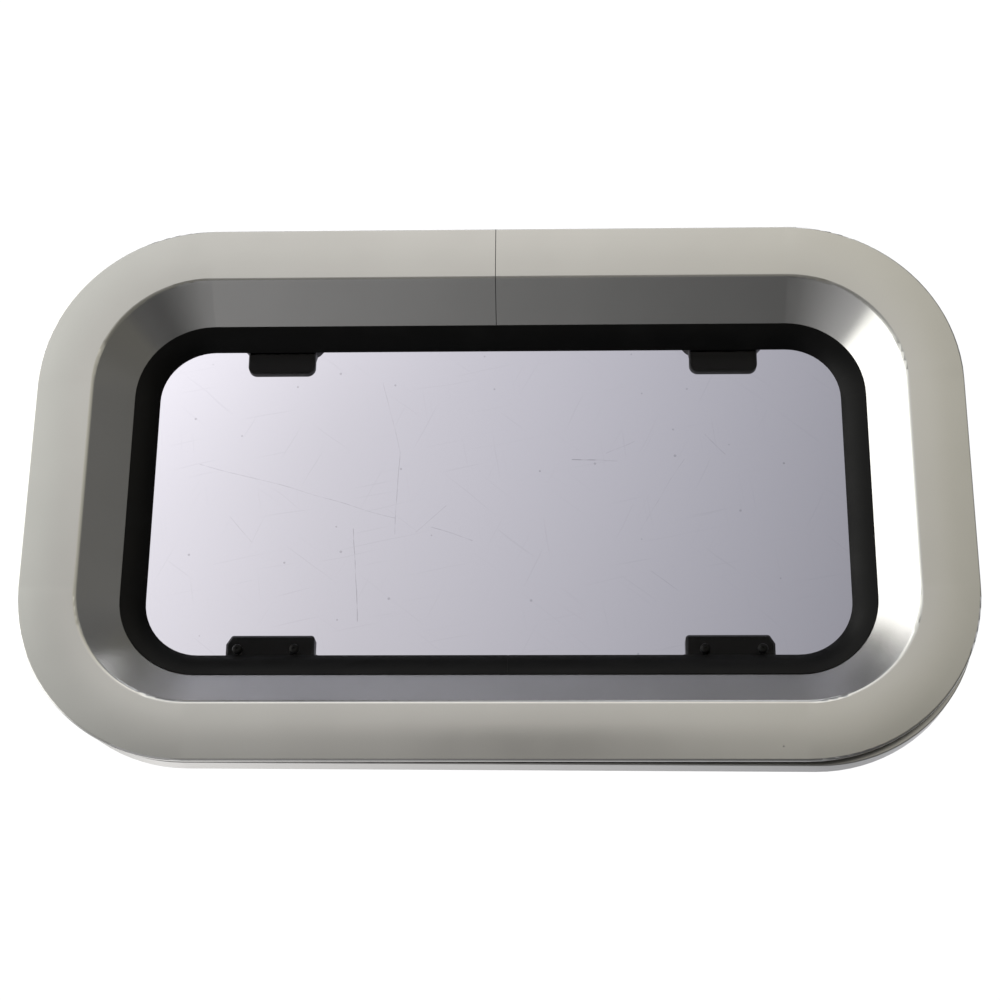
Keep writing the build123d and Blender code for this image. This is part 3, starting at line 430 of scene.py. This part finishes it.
def light_world():
    """A studio of soft patches of light, each round one direction, for a window seen from below: a bright
    wall behind it, brightest on the left, a tall softbox on the left, soft light from above the front and
    from overhead, and little from the right and below. The camera itself sees plain white."""
    world = bpy.data.worlds.new("studio")
    bpy.context.scene.world = world
    tree = Tree(world)
    direction = tree.vector("NORMALIZE", tree.node("ShaderNodeTexCoord").outputs["Generated"])
    parts = tree.node("ShaderNodeSeparateXYZ", {"Vector": direction})
    right, back, up = (parts.outputs[axis] for axis in "XYZ")
    side = tree.remap(right, -SIDE_REACH, SIDE_REACH, 0.0, 1.0, smooth=False)
    path = tree.node("ShaderNodeLightPath").outputs
    # The wall is graded from left to right where it lights the pane from behind, and even in reflections.
    # Rays that the pane bends count as glossy too, so they are taken out of the reflections.
    spread = product(
        tree,
        tree.remap(right, 0.165, -0.25, 0.92, 2.60, smooth=False),
        tree.remap(right, -0.10, -0.22, 1.0, 1.12),
    )
    mirrored = product(
        tree,
        path["Is Glossy Ray"],
        tree.math("SUBTRACT", 1.0, path["Is Transmission Ray"]),
        tree.remap(up, -0.18, -0.05, 0.0, 1.0),
    )
    wall = product(
        tree,
        lobe(tree, direction, (0.0, 1.0, 0.25), 0.50, 0.80, 1.0),
        tree.blend(mirrored, spread, MIRRORED_WALL),
        tree.remap(up, 0.20, 0.44, 0.78, 1.06, smooth=False),
        tree.remap(up, 0.17, -0.20, 1.0, 0.46),
    )
    front = product(
        tree,
        tree.remap(back, -0.2, -0.85, 0.0, 1.0),
        tree.ramp(up, [(height, (level,) * 3) for height, level in FRONT_BY_HEIGHT]),
        by_side(tree, side, [(place, (level,) * 3) for place, level in FRONT_BY_SIDE]),
    )
    # Two dim patches low in front, mirrored in the lower flange: in its middle, and at its left.
    face = lobe(tree, direction, (-0.02, -0.98, 0.20), 0.9972, 0.9999, 1.0)
    low_left = lobe(tree, direction, (-0.215, -0.95, 0.215), 0.9935, 0.9995, 0.12)
    softbox = product(
        tree,
        lobe(tree, direction, (-1.0, -0.22, 0.22), 0.55, 0.88, 1.7),
        tree.remap(up, 0.62, 0.91, 1.0, 0.0),
        tree.remap(back, -0.60, -0.38, 0.35, 1.0),
    )
    right_wall = lobe(tree, direction, (0.85, 0.5, 0.25), 0.76, 0.97, 0.47)
    overhead = lobe(tree, direction, (-0.42, 0.62, 0.93), 0.80, 0.965, 1.48)
    # Two small patches overhead, mirrored in the reveal's lower corners.
    corner = product(
        tree,
        lobe(tree, direction, (0.24, 0.0, 0.97), 0.94, 0.985, 1.35),
        tree.remap(back, 0.15, 0.23, 1.0, 0.0),
        tree.remap(back, -0.24, -0.08, 0.0, 1.0),
    )
    right_corner = lobe(tree, direction, (-0.50, 0.05, 0.86), 0.955, 0.996, 0.75)
    # What the pane shows below the horizon when it is looked through from inside.
    through_pane = product(
        tree,
        path["Is Transmission Ray"],
        tree.remap(back, -0.2, -0.6, 0.0, 1.0),
        tree.remap(up, 0.12, 0.0, 0.0, 0.9),
    )
    total = tree.math("SUBTRACT", tree.math("MULTIPLY", face, -0.60), low_left)
    for part in (wall, front, softbox, right_wall, overhead, corner, right_corner, through_pane):
        total = tree.math("ADD", total, part)
    total = tree.math("ADD", total, BASE_LIGHT)
    seen_directly = path["Is Camera Ray"]
    strength = tree.blend(seen_directly, total, BACKDROP)
    # Colours: nearly neutral behind, warm in front, cool straight overhead, and warmest in the dim patch.
    in_front = tree.remap(back, 0.1, -0.6, 0.0, 1.0)
    behind = tree.mix(tree.remap(right, 0.165, -0.2, 0.0, 1.0), (0.995, 1.0, 1.04, 1), (1.015, 1.0, 0.99, 1))
    colour = tree.mix(in_front, behind, by_side(tree, side, WARM_BY_SIDE))
    colour = tree.mix(tree.remap(up, 0.72, 0.9, 0.0, 1.0), colour, (0.985, 1.0, 1.045, 1))
    colour = tree.mix(face, colour, (1.0, 0.88, 0.78, 1))
    colour = tree.mix(seen_directly, colour, (1.0, 1.0, 1.0, 1))
    background = tree.node("ShaderNodeBackground", {"Strength": strength, "Color": colour})
    output = tree.node("ShaderNodeOutputWorld")
    tree.tree.links.new(background.outputs[0], output.inputs["Surface"])


def add_camera():
    """A long lens below and a little right of the window, looking up at it from outside."""
    camera_data = bpy.data.cameras.new("camera")
    camera_data.lens = CAMERA_LENS
    camera_data.sensor_width = SENSOR_WIDTH
    camera = bpy.data.objects.new("camera", camera_data)
    bpy.context.scene.collection.objects.link(camera)
    camera.location = CAMERA_PLACE
    turn = Matrix.Rotation(math.radians(CAMERA_YAW), 4, "Z")
    tilt = Matrix.Rotation(math.radians(90 + CAMERA_TILT), 4, "X")
    roll = Matrix.Rotation(math.radians(CAMERA_ROLL), 4, "Z")
    camera.rotation_euler = (turn @ tilt @ roll).to_euler()
    bpy.context.scene.camera = camera


add_floor()
light_world()
add_camera()
bpy.context.scene.view_settings.view_transform = "Standard"
